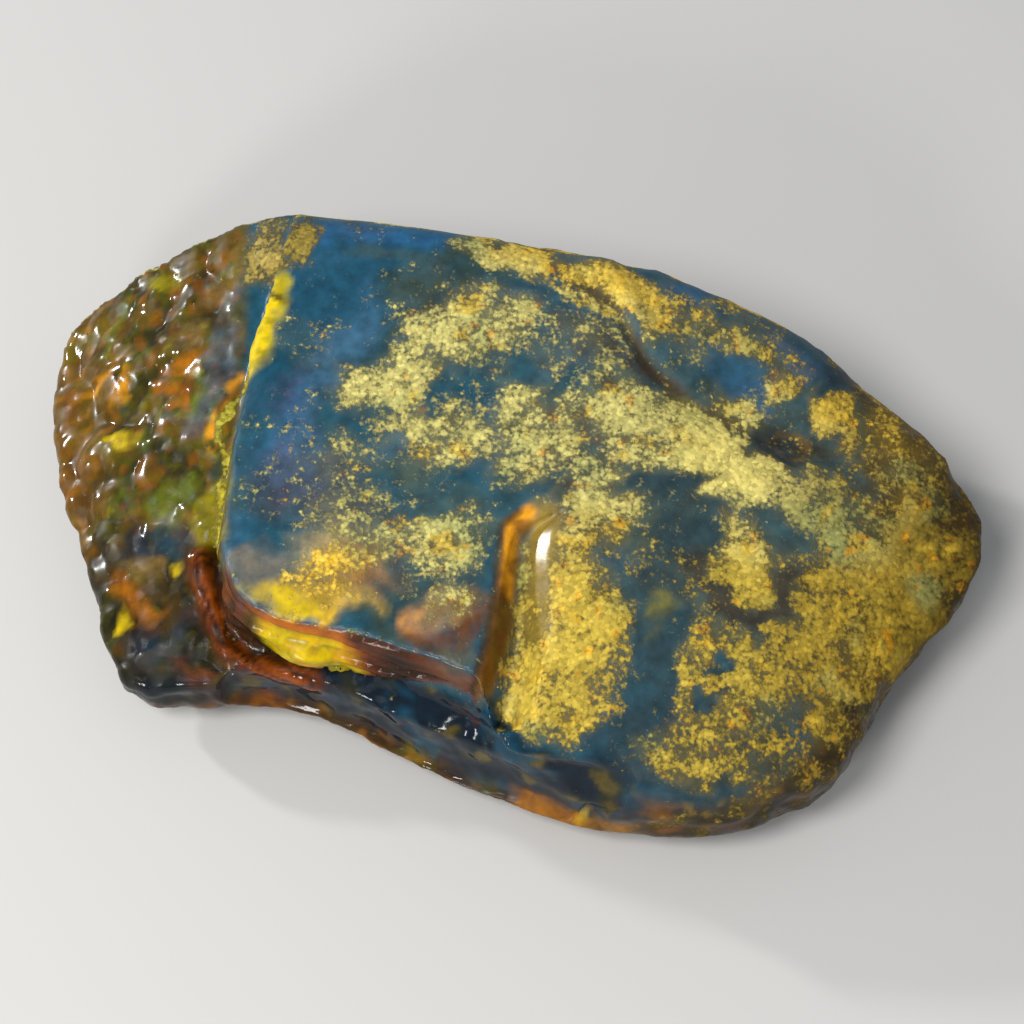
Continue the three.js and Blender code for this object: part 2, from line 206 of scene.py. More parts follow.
# Where crust lies: x, y, half length, half width, turn in degrees, how dense.
CRUST = [
    (0.4, 13.4, 4.2, 1.2, -10, 0.90), (5.8, 11.4, 4.8, 2.2, -30, 1.00),
    (-12.0, 14.4, 1.6, 1.9, 0, 0.80), (-1.9, 9.0, 5.2, 2.8, 14, 0.80),
    (-6.6, 5.6, 3.7, 2.4, 12, 0.84), (-3.6, 2.8, 4.2, 2.6, 0, 0.76), (-8.7, 0.9, 3.0, 2.4, 0, 0.50),
    (-3.9, -3.4, 3.6, 3.4, 0, 0.76), (1.5, 2.6, 3.2, 4.8, 0, 0.74), (-8.2, -2.4, 3.8, 2.6, 0, 0.58),
    (-7.6, -5.4, 3.0, 2.4, 0, 0.70), (6.4, 3.4, 4.2, 3.4, -23, 0.76),
    (11.3, 1.6, 3.9, 3.6, -12, 1.15), (4.9, -1.6, 2.6, 3.4, 0, 0.84),
    (16.9, -0.4, 3.6, 2.6, -17, 0.78), (12.0, -4.9, 3.2, 3.2, 0, 1.0),
    (11.9, 2.6, 3.2, 3.0, 0, 1.15), (2.7, -8.0, 3.8, 5.8, 0, 0.97),
    (2.4, -12.2, 3.6, 2.8, -12, 0.86), (11.8, -11.0, 4.6, 4.4, 0, 0.74),
    (16.6, -8.0, 4.2, 6.2, -23, 0.84), (20.8, -4.7, 3.8, 4.4, -34, 1.0),
    (18.1, -3.3, 3.0, 2.8, 0, 0.80), (4.6, 7.4, 4.0, 3.2, -34, 0.52),
    (12.4, 8.5, 1.8, 1.2, -12, 0.82), (14.2, 6.6, 2.0, 1.3, 0, 0.82),
    (10.3, 9.4, 1.4, 2.0, -20, 0.62), (17.6, 4.6, 0.9, 2.7, 23, 0.95),
    (20.0, 1.5, 1.4, 2.4, 12, 0.60), (9.0, -14.6, 4.4, 1.6, 0, 0.62),
    (10.2, -15.5, 4.2, 1.1, 4, 0.60), (14.9, -14.4, 2.6, 2.0, 0, 0.50),
    (-13.4, 15.6, 1.6, 0.9, 20, 0.70), (-12.9, 8.0, 0.7, 0.8, 0, 0.40),
    (-9.9, 9.6, 0.9, 0.5, 0, 0.38), (-3.4, -7.2, 2.4, 1.6, 0, 0.62),
    (20.6, -7.6, 2.6, 3.0, -45, 1.00), (21.6, -2.2, 3.0, 2.2, -30, 1.00),
    (17.4, -11.0, 2.0, 3.4, -38, 0.80), (22.6, 1.0, 2.0, 1.2, -40, 0.62),
    (20.4, 4.0, 1.2, 3.2, 42, 0.50), (12.0, -14.6, 4.0, 1.4, 8, 0.55),
    (10.6, -12.8, 3.0, 1.8, 0, 0.55), (-11.0, 0.4, 3.2, 4.6, 0, 0.34),
    (13.6, 8.6, 4.0, 2.4, -28, 0.48), (9.6, 8.6, 2.0, 2.4, 0, 0.55),
    (0.6, -12.0, 2.0, 2.8, 0, 1.15), (-9.6, -5.6, 3.4, 1.6, -6, 0.70),
    (12.1, 11.2, 2.6, 0.8, -25, 0.50), (7.4, -11.0, 1.8, 3.2, 0, 0.36),
    (-10.9, 3.4, 1.6, 2.4, -20, 0.34), (9.0, -5.0, 3.4, 5.0, 0, 0.52),
    (1.0, 6.8, 5.0, 3.0, -20, 0.45),
]
# Where the crust is missing, in the same form.
BARE = [
    (8.2, -0.3, 3.2, 0.75, 16, 0.85), (7.5, -8.8, 1.25, 4.6, -8, 0.92),
    (0.4, -0.6, 2.6, 0.6, 22, 0.55), (5.7, -14.4, 3.0, 0.9, 24, 0.75),
    (14.9, 3.3, 2.2, 1.4, -12, 1.00), (9.2, -2.9, 1.2, 2.0, 0, 0.72),
    (2.6, 5.7, 0.8, 2.4, -23, 0.50), (-3.9, -1.4, 3.4, 0.7, 10, 0.70),
    (-6.2, -7.0, 1.7, 1.7, 0, 0.70), (-4.2, 5.4, 0.9, 1.2, 0, 0.60), (0.6, 6.4, 1.0, 0.8, 0, 0.50),
    (6.4, 7.2, 2.4, 0.7, -40, 0.60), (10.6, -10.5, 0.6, 0.6, 0, 0.90),
    (10.2, -12.2, 0.6, 0.5, 0, 0.80),
]
ROUND_PATCH = (12.0, -5.0, 2.6)  # x, y and radius of a round patch of crust with a brown ring


# ---------- numbers and fields ----------

def hex_colour(text):
    """An sRGB hex colour as linear red, green, blue and 1."""
    parts = [int(text[i:i + 2], 16) / 255 for i in (1, 3, 5)]
    linear = [c / 12.92 if c <= 0.04045 else ((c + 0.055) / 1.055) ** 2.4 for c in parts]
    return (*linear, 1.0)


def smooth(value, low, high):
    """Goes from 0 at low to 1 at high, with no corner at either end."""
    t = np.clip((value - low) / (high - low), 0.0, 1.0)
    return t * t * (3.0 - 2.0 * t)


def waves(points, size, seed):
    """Smooth noise from -1 to 1 whose bumps are about size mm wide."""
    shifted = points / size + seed * 17.3
    return np.array([noise.noise(p) for p in shifted])


def cells(points, size, seed):
    """Distance to the nearest of many scattered points, in parts of their spacing."""
    shifted = points / size + seed * 11.7
    return np.array([noise.voronoi(p)[0][0] for p in shifted])


def cell_shades(points, size, seed):
    """A number from 0 to 1 for each point, the same all over the cell that it lies in."""
    shifted = points / size + seed * 11.7
    return np.array([noise.cell(noise.voronoi(p)[1][0] * 7.0) for p in shifted])


def warped(points, size, reach, seed):
    """The points pushed about by up to reach mm, for ragged natural borders."""
    push = [waves(points, size, seed + k) for k in (0, 1, 2)]
    return points + reach * np.stack(push, axis=1)


def to_line(points, line):
    """Distance in mm from each point to a broken line, in as many axes as the line has."""
    line = np.array(line, dtype=float)
    flat = points[:, :line.shape[1]]
    best = np.full(len(points), 1e9)
    for a, b in zip(line[:-1], line[1:]):
        along = b - a
        t = np.clip(((flat - a) @ along) / (along @ along), 0.0, 1.0)
        best = np.minimum(best, np.linalg.norm(flat - a - t[:, None] * along, axis=1))
    return best


def near(distance, width):
    """1 on a line or point, fading to 0 at width mm from it."""
    return 1.0 - smooth(distance, 0.25 * width, width)


def oval(points, x, y, half_length, half_width, turn, core=0.35, rim=1.40):
    """1 in the core of an oval seen from above, fading to 0 at its rim, in parts of its size."""
    angle = math.radians(turn)
    across = points[:, 0] - x
    up = points[:, 1] - y
    u = (across * math.cos(angle) + up * math.sin(angle)) / half_length
    v = (up * math.cos(angle) - across * math.sin(angle)) / half_width
    return 1.0 - smooth(np.hypot(u, v), core, rim)


def past_edge(points):
    """How far in mm each point lies outside the block's top edge, on the shelf side."""
    left = np.array(LEFT_EDGE)[::-1]
    front = np.array(FRONT_EDGE)
    past_left = np.interp(points[:, 1], left[:, 1], left[:, 0]) - points[:, 0]
    past_left = np.where(points[:, 1] < left[0, 1] - 1.0, -9.0, past_left)
    past_front = np.interp(points[:, 0], front[:, 0], front[:, 1]) - points[:, 1]
    past_front = np.where(points[:, 0] > front[-1, 0] + 0.4, -9.0, past_front)
    return np.maximum(past_left, past_front)


def past_lobe(points):
    """How far in mm each point lies outside the front edge of the right lobe."""
    line = np.array(LOBE_EDGE)
    beyond = np.interp(points[:, 0], line[:, 0], line[:, 1]) - points[:, 1]
    return np.where((points[:, 0] < line[0, 0]) | (points[:, 0] > line[-1, 0]), -9.0, beyond)


def round_rim(points):
    """1 along the lower half of the round patch's rim, fading to 0 beside it."""
    from_middle = np.hypot(points[:, 0] - ROUND_PATCH[0], points[:, 1] - ROUND_PATCH[1])
    lower_half = smooth(-points[:, 1], 3.6, 5.8)
    return lower_half * near(np.abs(from_middle - ROUND_PATCH[2]), 0.6)


# ---------- the skin ----------

def even_skin(name, source):
    """A closed skin of small even faces with the shape of a CAD solid."""
    mesh = source.data.copy()
    joined = bmesh.new()
    joined.from_mesh(mesh)
    bmesh.ops.remove_doubles(joined, verts=joined.verts, dist=0.001 * MM)
    joined.to_mesh(mesh)
    joined.free()
    mesh.materials.clear()
    skin = bpy.data.objects.new(name, mesh)
    bpy.context.scene.collection.objects.link(skin)
    remesh = skin.modifiers.new("even faces", "REMESH")
    remesh.mode = "VOXEL"
    remesh.voxel_size = VOXEL * MM
    remesh.use_smooth_shade = True
    fine = bpy.data.meshes.new_from_object(skin.evaluated_get(bpy.context.evaluated_depsgraph_get()))
    skin.modifiers.clear()
    skin.data = fine
    return skin


def read_points(mesh):
    points = np.empty(len(mesh.vertices) * 3)
    mesh.vertices.foreach_get("co", points)
    return points.reshape(-1, 3) / MM


def write_points(mesh, points):
    mesh.vertices.foreach_set("co", (points * MM).ravel())
    mesh.update()


def read_normals(mesh):
    normals = np.empty(len(mesh.vertices) * 3)
    mesh.vertices.foreach_get("normal", normals)
    return normals.reshape(-1, 3)


class Zones:
    """Weights from 0 to 1 that say which face of the lump each point is on."""

    def __init__(self, points, normals):
        past = past_edge(points)
        wobble = 0.25 * waves(points, 1.4, 1)
        up = normals[:, 2]
        self.base = 1.0 - smooth(points[:, 2], 0.05, 0.7)
        self.upper = smooth(up, -0.15, 0.25)
        self.shelf = smooth(past + wobble, 0.0, 0.7)
        self.lobe = self.shelf * smooth(-points[:, 0], 14.2, 15.2)
        self.wall = near_wall(points, past, up)
        west_front = smooth(-points[:, 0] + wobble, -8.0, -3.5) * smooth(-points[:, 1], 8.0, 9.6)
        under_lobe = smooth(past_lobe(points) + wobble, -0.1, 0.6)
        self.front = west_front * np.maximum(self.shelf, under_lobe)
        self.top = smooth(up, 0.35, 0.7) * (1.0 - self.shelf)
        rise = 2.2 * smooth(points[:, 0], 12.0, 20.0)
        self.low = 1.0 - smooth(points[:, 2] + 1.6 * wobble - rise, 4.2, 6.2)
        self.thin_end = smooth(points[:, 0] + 0.6 * wobble, 16.5, 21.0)
        # Not a weight: 0 on the rounded back edge, and growing away from it.
        self.back_rim = 3.0 * np.abs(up - 0.6) + 9.0 * (normals[:, 1] < 0.3)


def near_wall(points, past, up):
    """The steep broken wall between the block's top and the shelf, along the front."""
    steep = 1.0 - smooth(up, 0.35, 0.75)
    beside = smooth(past, -0.5, 0.1) * (1.0 - smooth(past, 1.2, 2.0))
    in_front = smooth(-points[:, 1], 4.5, 6.6) * (1.0 - smooth(points[:, 0], -1.8, -0.8))
    return steep * beside * in_front * smooth(points[:, 2], 5.0, 5.8)


def knobs(points, zones):
    """Rounded knobs of the weathered left lobe, with creases between them."""
    large = 0.5 - cells(warped(points, 2.0, 0.7, 3), 2.9, 4) ** 2
    small = 0.5 - cells(warped(points, 1.5, 0.45, 5), KNOB, 5) ** 2
    tall = 0.55 + 0.45 * smooth(waves(points, 2.6, 7), -0.3, 0.3)
    return zones.lobe * (0.60 * large + 0.38 * tall * small)


def laminae(points, zones):
    """Thin wavy layers that stand out of the front wall."""
    level = points[:, 2] + 0.10 * points[:, 0] + 0.35 * waves(points, 2.2, 6)
    fine = 0.10 * np.sin(level * 2.0 * math.pi / 0.75)
    coarse = 0.16 * np.sin(level * 2.0 * math.pi / 1.9)
    lens = 0.70 * near(np.linalg.norm((points - (-11.0, -8.6, 6.8)) / (1.9, 1.0, 0.9), axis=1), 1.4)
    return zones.wall * (fine + coarse + lens)


def swell(points, up, zones):
    """Slow swells and small unevenness of every face."""
    gentle = 0.10 * waves(points, 4.2, 8) + 0.04 * waves(points, 1.5, 9)
    rough = 0.30 * waves(points, 3.2, 10) + 0.14 * waves(points, 1.2, 11)
    rough += 0.05 * waves(points, 0.6, 12)
    sides = 1.0 - smooth(up, 0.3, 0.7)
    under = sides * (1.0 - zones.wall) * (1.0 - 0.6 * zones.front) * (1.0 - 0.8 * zones.lobe)
    end = zones.thin_end * (0.22 * waves(points, 2.4, 13) + 0.10 * waves(points, 1.0, 14))
    return gentle + under * rough + end


def behind_step(points):
    """How far in mm each point lies behind the low step in the top."""
    line = np.array(STEP)
    return points[:, 1] - np.interp(points[:, 0], line[:, 0], line[:, 1])


def from_step(points):
    """Distance in mm from the step, well away from it past either end."""
    past_end = (points[:, 0] < STEP[0][0]) | (points[:, 0] > STEP[-1][0])
    return np.abs(behind_step(points)) + 9.0 * past_end


def terrace(points):
    """A low raised ledge behind the step, with a narrow valley at its foot."""
    behind = behind_step(points)
    along = smooth(points[:, 0], 3.0, 5.5) * (1.0 - smooth(points[:, 0], 10.0, 12.5))
    ledge = smooth(behind, 0.3, 1.3) * (1.0 - smooth(behind, 1.8, 4.5))
    return along * (0.32 * ledge - 0.18 * near(np.abs(behind + 0.1), 0.9))


def flake(points, normals, spot, radius, depth, along=(1.0, 0.0, 0.0), stretch=1.0):
    """Pushes the points inside a long ball out to its surface: a shell-shaped flake scar."""
    nearest = np.argmin(np.linalg.norm(points - spot, axis=1))
    away = points - (points[nearest] + normals[nearest] * (radius - depth))
    lengthwise = (away @ np.array(along))[:, None] * np.array(along)
    squeezed = away - lengthwise * (1.0 - 1.0 / stretch)
    distance = np.linalg.norm(squeezed, axis=1)
    inside = distance < radius
    points[inside] += (away * (radius / np.maximum(distance, 1e-6) - 1.0)[:, None])[inside]


def broken_front(points, normals):
    """Overlapping flake scars along the lower front, larger ones first."""
    line = np.array(FLAKE_LINE)
    pick = np.random.default_rng(12)
    for step in range(FLAKES):
        place = pick.uniform(0, len(line) - 1.001)
        start = line[int(place)]
        along = line[int(place) + 1] - start
        spot = start + along * (place % 1.0) + pick.uniform(-1.0, 1.0, 3) * (0.5, 1.4, 1.6)
        chip = 0.6 if spot[0] > 2.5 else 1.0
        radius = pick.uniform(1.6, 5.0) * (1.0 - 0.004 * step)
        depth = pick.uniform(0.12, 0.36) * chip
        askew = pick.uniform(-1.0, 1.0, 3) * np.linalg.norm(along) + along
        flake(points, normals, spot, radius, depth, askew / np.linalg.norm(askew),
              pick.uniform(1.0, 1.8))


skin = even_skin("raw_amber_skin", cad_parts["raw_amber"])
points = read_points(skin.data)
normals = read_normals(skin.data)
zones = Zones(points, normals)
rest = points.copy()

height = swell(points, normals[:, 2], zones) + knobs(points, zones) + laminae(points, zones)
height += terrace(points) * zones.top
band = to_line(warped(points, 1.2, 0.25, 20), RUST_BAND)
height += near(band, 1.15) * (0.24 + 0.06 * np.cos(band * 11.0 + 2.0 * waves(points, 1.1, 21)))
height -= 0.55 * near(to_line(points, RECESS), 0.9)
ringed = warped(points, 1.8, 0.55, 22)
ring_distance = np.hypot((ringed[:, 0] - RING_PIT[0]) / 1.5, (ringed[:, 1] - RING_PIT[1]) / 1.1)
height -= zones.upper * 0.30 * near(ring_distance, 1.9)
height += zones.upper * 0.035 * np.cos(ring_distance * 7.5) * near(ring_distance, 2.4)
height *= 1.0 - zones.base
points += normals * height[:, None]
unbroken = points.copy()
broken_front(points, normals)
# The front wall, the skin well above and below the flakes and the groove's mouth stay uncut.
kept = np.maximum(smooth(zones.wall, 0.1, 0.5), smooth(np.abs(rest[:, 2] - 4.6), 1.9, 3.0))
kept = np.maximum(kept, near(to_line(rest, GROOVE_WALL[4:]), 2.0))
cut = points - unbroken
cut *= np.minimum(1.0, DEEPEST_CUT / np.maximum(np.linalg.norm(cut, axis=1), 1e-6))[:, None]
points = unbroken + (1.0 - kept)[:, None] * cut
ripple = 0.07 * waves(points, 0.8, 15) + 0.04 * waves(points, 0.42, 16)
points += normals * (zones.front * (1.0 - zones.base) * ripple)[:, None]
for x, y, radius, depth in PITS:
    over = np.where(normals[:, 2] > 0.3, np.hypot(points[:, 0] - x, points[:, 1] - y), 9.0)
    flake(points, normals, points[np.argmin(over)], radius, 0.6 * depth)
points[:, 2] = np.maximum(points[:, 2], 0.0)
write_points(skin.data, points)
normals = read_normals(skin.data)


# ---------- the colours of the skin ----------

def lay(colours, weight, name):
    """Lays a palette colour over the colours of the points, by weight."""
    colours += weight[:, None] * (np.array(hex_colour(PALETTE[name])[:3]) - colours)


def turn_to(values, weight, goal):
    """Moves the values towards goal, by weight."""
    values += weight * (goal - values)


def lay_patches(colours, ragged, mask, patches):
    mottle = 0.80 + 0.45 * waves(ragged, 0.45, 27)
    for x, y, half_length, half_width, turn, strength, name in patches:
        weight = strength * mottle * oval(ragged, x, y, half_length, half_width, turn)
        lay(colours, mask * np.minimum(weight, 1.0), name)


def paint_under(points, zones, ragged):
    """Colour of the amber under and between the crust, with painted shade and painted glow laid into
    it.
    """
    colours = np.tile(np.array(hex_colour(PALETTE["teal"])[:3]), (len(points), 1))
    broad = waves(points, 3.4, 30)
    middle = waves(points, 1.5, 31)
    fine = waves(points, 0.7, 32)
    lay(colours, 0.45 * smooth(broad + 0.5 * middle, 0.0, 0.6), "blue")
    lay(colours, 0.50 * smooth(-broad + 0.5 * fine, 0.1, 0.7), "deep teal")
    lay_patches(colours, ragged, zones.upper, TOP_PATCHES)
    lay(colours, 0.70 * zones.top * round_rim(ragged), "brown")
    rings = zones.top * near(ring_distance, 2.2) * smooth(np.cos(ring_distance * 7.5), 0.0, 0.8)
    lay(colours, 0.50 * rings * smooth(fine, -0.4, 0.3), "honey")
    body = np.maximum(zones.low, 1.0 - zones.upper)
    lay(colours, 0.9 * zones.thin_end * smooth(broad + middle, -0.6, 0.2), "rim olive")
    lay(colours, 0.8 * zones.thin_end * smooth(middle - 0.5 * fine, 0.25, 0.5), "dark brown")
    lay(colours, 0.7 * zones.thin_end * smooth(fine - middle, 0.0, 0.5), "brown")
    # painted shadow: a brown line along the foot of the low step in the top
    step = from_step(warped(points, 1.0, 0.4, 34))
    lay(colours, 0.80 * zones.top * near(step, 0.9), "brown")
    lay(colours, body, "rim brown")
    in_front = 1.0 - 0.75 * smooth(points[:, 1], 2.0, 8.0)
    lay(colours, 0.85 * body * in_front * smooth(middle + 0.5 * fine, -0.05, 0.4), "rim gold")
    lay(colours, 0.6 * body * smooth(-broad + 0.4 * fine, 0.1, 0.6), "dark olive")
    lay(colours, 0.5 * body * in_front * smooth(fine - 0.3 * broad, 0.3, 0.6), "gold wash")
    # painted shade: the rims and lower sides are darkened, more so towards the thin end, which faces
    # away from the light
    colours *= 1.0 - (0.38 + 0.49 * smooth(points[:, 0], 5.0, 12.0))[:, None] * body[:, None]
    paint_lobe(colours, points, zones, ragged, (broad, middle, fine))
    paint_front(colours, points, zones, ragged, (broad, middle, fine))
    paint_seams(colours, points, zones)
    return colours


def paint_lobe(colours, points, zones, ragged, mottle):
    """The honey, olive and rust knobs of the left lobe, each knob a colour of its own, with painted
    shade in the creases between them.
    """
    broad, middle, fine = mottle
    lobe = zones.lobe
    lay(colours, lobe, "olive")
    for size, seed, weight in ((KNOB, 5, 0.65), (0.55, 45, 0.60)):
        shade = cell_shades(warped(points, 1.5, 0.45, seed), size, seed)
        for k, name in enumerate(KNOB_COLOURS):
            here = (shade * len(KNOB_COLOURS)).astype(int) == k
            lay(colours, weight * lobe * here, name)
    # painted shade: dark brown in the creases between the knobs
    crease_shade = smooth(cells(warped(points, 1.5, 0.45, 5), KNOB, 5), 0.45, 0.80)
    lay(colours, 0.70 * lobe * crease_shade, "dark brown")
    lay(colours, lobe * 0.55 * smooth(middle, 0.0, 0.40), "honey")
    lay(colours, lobe * 0.55 * smooth(-middle + 0.4 * fine, 0.15, 0.5), "dark olive")
    lay(colours, lobe * 0.45 * smooth(fine + 0.4 * broad, 0.30, 0.5), "amber brown")
    outer = smooth(-points[:, 0] + 0.8 * middle, 21.6, 23.4)
    lay(colours, lobe * 0.65 * outer, "honey")
    lay(colours, lobe * 0.35 * outer * smooth(fine, 0.1, 0.4), "amber orange")
    lay(colours, lobe * 0.50 * (1.0 - smooth(points[:, 2], 2.0, 4.4)), "rim brown")
    colours *= 1.0 - (0.42 + 0.33 * smooth(-points[:, 1], 0.0, 3.0))[:, None] * lobe[:, None]
    lay_patches(colours, ragged, 0.85 * lobe * zones.upper, LOBE_PATCHES)


def paint_front(colours, points, zones, ragged, mottle):
    """The dark glassy lower front, the layered wall above it and the rust band, with painted shade and
    a painted glow in the wall's lens.
    """
    broad, middle, fine = mottle
    lay(colours, zones.front, "night blue")
    lay(colours, zones.front * 0.60 * smooth(middle, 0.05, 0.4), "dark olive")
    lay(colours, zones.front * 0.55 * smooth(middle + 0.5 * fine, 0.30, 0.55), "rim olive")
    lay(colours, zones.front * 0.55 * smooth(broad - 0.4 * fine, 0.0, 0.5), "deep teal")
    lay(colours, zones.front * (1.0 - smooth(points[:, 2] + 0.5 * middle, 1.8, 3.4)), "rim brown")
    lay(colours, zones.front * 0.7 * (1.0 - smooth(points[:, 2], 1.6, 3.4)) * smooth(fine, -0.1, 0.4),
        "rim gold")
    foot = 1.0 - smooth(points[:, 2] + 0.4 * middle, 2.4, 3.8)
    # painted shade: the lower front is darkened near the floor
    colours *= 1.0 - 0.32 * (zones.front * foot)[:, None]
    lay_patches(colours, ragged, zones.front * foot, FRONT_PATCHES)
    level = points[:, 2] + 0.10 * points[:, 0] + 0.5 * waves(points, 2.2, 6) + 0.15 * fine
    wall = zones.wall
    layers = smooth(np.sin(level * 2.0 * math.pi / 0.8), 0.0, 0.9)
    lay(colours, wall, "rust")
    lay(colours, wall * layers, "red brown")
    lay(colours, 0.8 * wall * smooth(points[:, 2] + 0.4 * middle, 8.9, 9.5), "dark brown")
    # The wall's right part: its own dark brown, then darkened further by painted shade
    lay(colours, 0.95 * wall * smooth(points[:, 0] + 0.5 * middle, -9.5, -6.0), "dark brown")
    colours *= 1.0 - 0.50 * (wall * smooth(points[:, 0], -10.0, -7.0))[:, None]
    # The lens: the amber's own orange and yellow, its lower part painted bright as a glow of light
    # shining through it
    lens = wall * (1.0 - smooth(points[:, 0] + 0.8 * middle, -9.2, -7.6))
    lens *= smooth(points[:, 0], -14.2, -13.2)
    below = lens * (1.0 - smooth(points[:, 2] + 0.3 * middle, 8.1, 8.7))
    lay(colours, lens, "orange")
    lay(colours, 0.6 * lens * layers, "rust")
    lay(colours, below, "bright yellow")
    lay(colours, 0.5 * below * layers * smooth(fine, -0.2, 0.3), "orange")
    flow = np.sin(level * 2.0 * math.pi / 0.55 + 1.0)
    lay(colours, 0.75 * below * smooth(flow + 0.4 * fine, 0.1, 0.8), "leaf yellow")
    lay(colours, 0.55 * below * smooth(-flow + fine, 0.6, 1.2), "amber orange")
    lay(colours, 0.8 * below * smooth(-points[:, 2], -6.8, -6.0), "leaf green")
    colours *= 1.0 - 0.18 * lens[:, None]
    lay(colours, wall * (1.0 - smooth(points[:, 0], -13.7, -12.7)), "dark brown")
    strands = np.sin(band * 13.0 + 4.0 * middle + 2.0 * fine)
    lay(colours, near(band, 1.3), "red brown")
    lay(colours, 0.9 * near(band + 0.3 * fine, 0.95) * smooth(strands + middle, 0.2, 0.9), "rust")
    lay(colours, 0.8 * near(band, 1.3) * smooth(-strands + fine, 0.4, 1.0), "dark brown")
    colours *= 1.0 - 0.42 * near(band, 1.5)[:, None]
    # painted shade in the slot between the rust band and the wall
    lay(colours, 0.9 * near(to_line(points, RECESS), 0.9), "dark brown")


def paint_seams(colours, points, zones):
    """Clear yellow seams along the block's left edge and the groove's amber wall, their own colour
    painted bright as a glow of light through them.
    """
    wavy = warped(points, 0.9, 0.35, 40)
    uneven = waves(points, 1.1, 44) + 0.5 * waves(points, 0.5, 45)
    seam = 1.0 - smooth(to_line(wavy, RIDGE_SEAM) + 0.25 * uneven, 0.40, 1.05)
    seam *= smooth(points[:, 2] + 0.5 * uneven, 9.4, 10.5)
    # painted glow: the seam's own yellow, painted bright as light shining through the thin edge
    lay(colours, seam, "bright yellow")
    lay(colours, 0.8 * seam * smooth(waves(points, 0.6, 41), 0.0, 0.3), "leaf yellow")
    lay(colours, 0.8 * seam * smooth(uneven - 0.8 * (points[:, 2] - 10.2), 0.1, 0.6), "olive")
    lay(colours, 0.7 * seam * (1.0 - smooth(seam, 0.4, 0.9)), "leaf green")
    across = np.abs(wavy[:, 1] + 0.3 * wavy[:, 0] - 7.0)
    lay(colours, 0.9 * seam * near(across, 0.40), "dark olive")
    shelf_seam = near(to_line(wavy, SHELF_SEAM), 0.40)
    lay(colours, 0.9 * shelf_seam * smooth(waves(points, 0.8, 44), -0.3, 0.1), "amber orange")
    # painted glow: the groove wall's own amber orange, painted bright as light shining through it
    groove = near(to_line(points, GROOVE_WALL), 0.65)
    lay(colours, groove, "amber orange")
    lay(colours, 0.9 * near(to_line(points, GROOVE_WALL[3:]), 0.8), "brown")
    lay(colours, 0.6 * groove * smooth(waves(points, 0.9, 42), 0.0, 0.4), "rust brown")
    lay(colours, 0.9 * near(to_line(wavy, GROOVE_LIP), 1.5) * (1.0 - groove), "ochre crust")
    outline = near(to_line(points + (0.55, 0.0, 0.0), GROOVE_WALL), 0.35)
    lay(colours, 0.7 * outline * zones.upper, "dark brown")


def crust_cover(points, zones, ragged):
    """How densely crust covers the skin, from 0 to 1."""
    cover = np.zeros(len(points))
    for x, y, half_length, half_width, turn, dense in CRUST:
        cover = np.maximum(cover, dense * oval(ragged, x, y, half_length, half_width, turn))
    for x, y, half_length, half_width, turn, bare in BARE:
        cover *= 1.0 - bare * oval(ragged, x, y, half_length, half_width, turn)
    cover *= 1.0 - 0.6 * round_rim(ragged)
    cover *= zones.upper * (1.0 - zones.shelf) * (1.0 - zones.front)
    cover = np.maximum(cover, zones.top * (0.14 + 0.18 * smooth(waves(points, 3.0, 49), -0.1, 0.4)))
    back_edge = near(zones.back_rim, 0.9) * smooth(waves(points, 1.6, 48), -0.35, 0.1)
    cover = np.maximum(cover, 0.85 * back_edge)
    cover *= 1.0 - 0.5 * zones.top * near(from_step(ragged), 0.8)
    behind = (1.0 - zones.upper) * smooth(points[:, 1] + 0.6 * points[:, 0], -6.0, 2.0)
    cover = np.maximum(cover, behind * 0.80 * smooth(waves(points, 3.0, 50), -0.2, 0.5))
    cover = np.maximum(cover, zones.thin_end * (0.55 + 0.25 * waves(points, 2.0, 47)))
    rim = zones.low * smooth(points[:, 0], 5.0, 8.0) * (1.0 - zones.base)
    cover = np.maximum(cover, rim * (0.35 + 0.35 * waves(points, 1.6, 46)))
    foot = near(to_line(ragged, FOOT_CRUST), 0.45) * zones.shelf
    corner = oval(ragged, -13.2, 14.6, 2.2, 2.6, 20) * zones.upper
    cover = np.maximum(np.maximum(cover, 0.75 * foot), 0.74 * corner)
    wavy = warped(points, 0.8, 0.35, 43)
    cover *= 1.0 - near(to_line(wavy, GROOVE_WALL), 0.60)
    cover *= 1.0 - 0.5 * near(to_line(wavy, GROOVE_LIP), 0.9)
    on_seam = near(to_line(points, RIDGE_SEAM), 0.9) * smooth(points[:, 2], 9.2, 10.2)
    return cover * (1.0 - on_seam)


def dust(colours, cover, tint):
    """A thin film of crust between the grains, darker than the crust itself."""
    colours += (0.80 * smooth(cover, 0.15, 0.95))[:, None] * (0.36 * tint - colours)


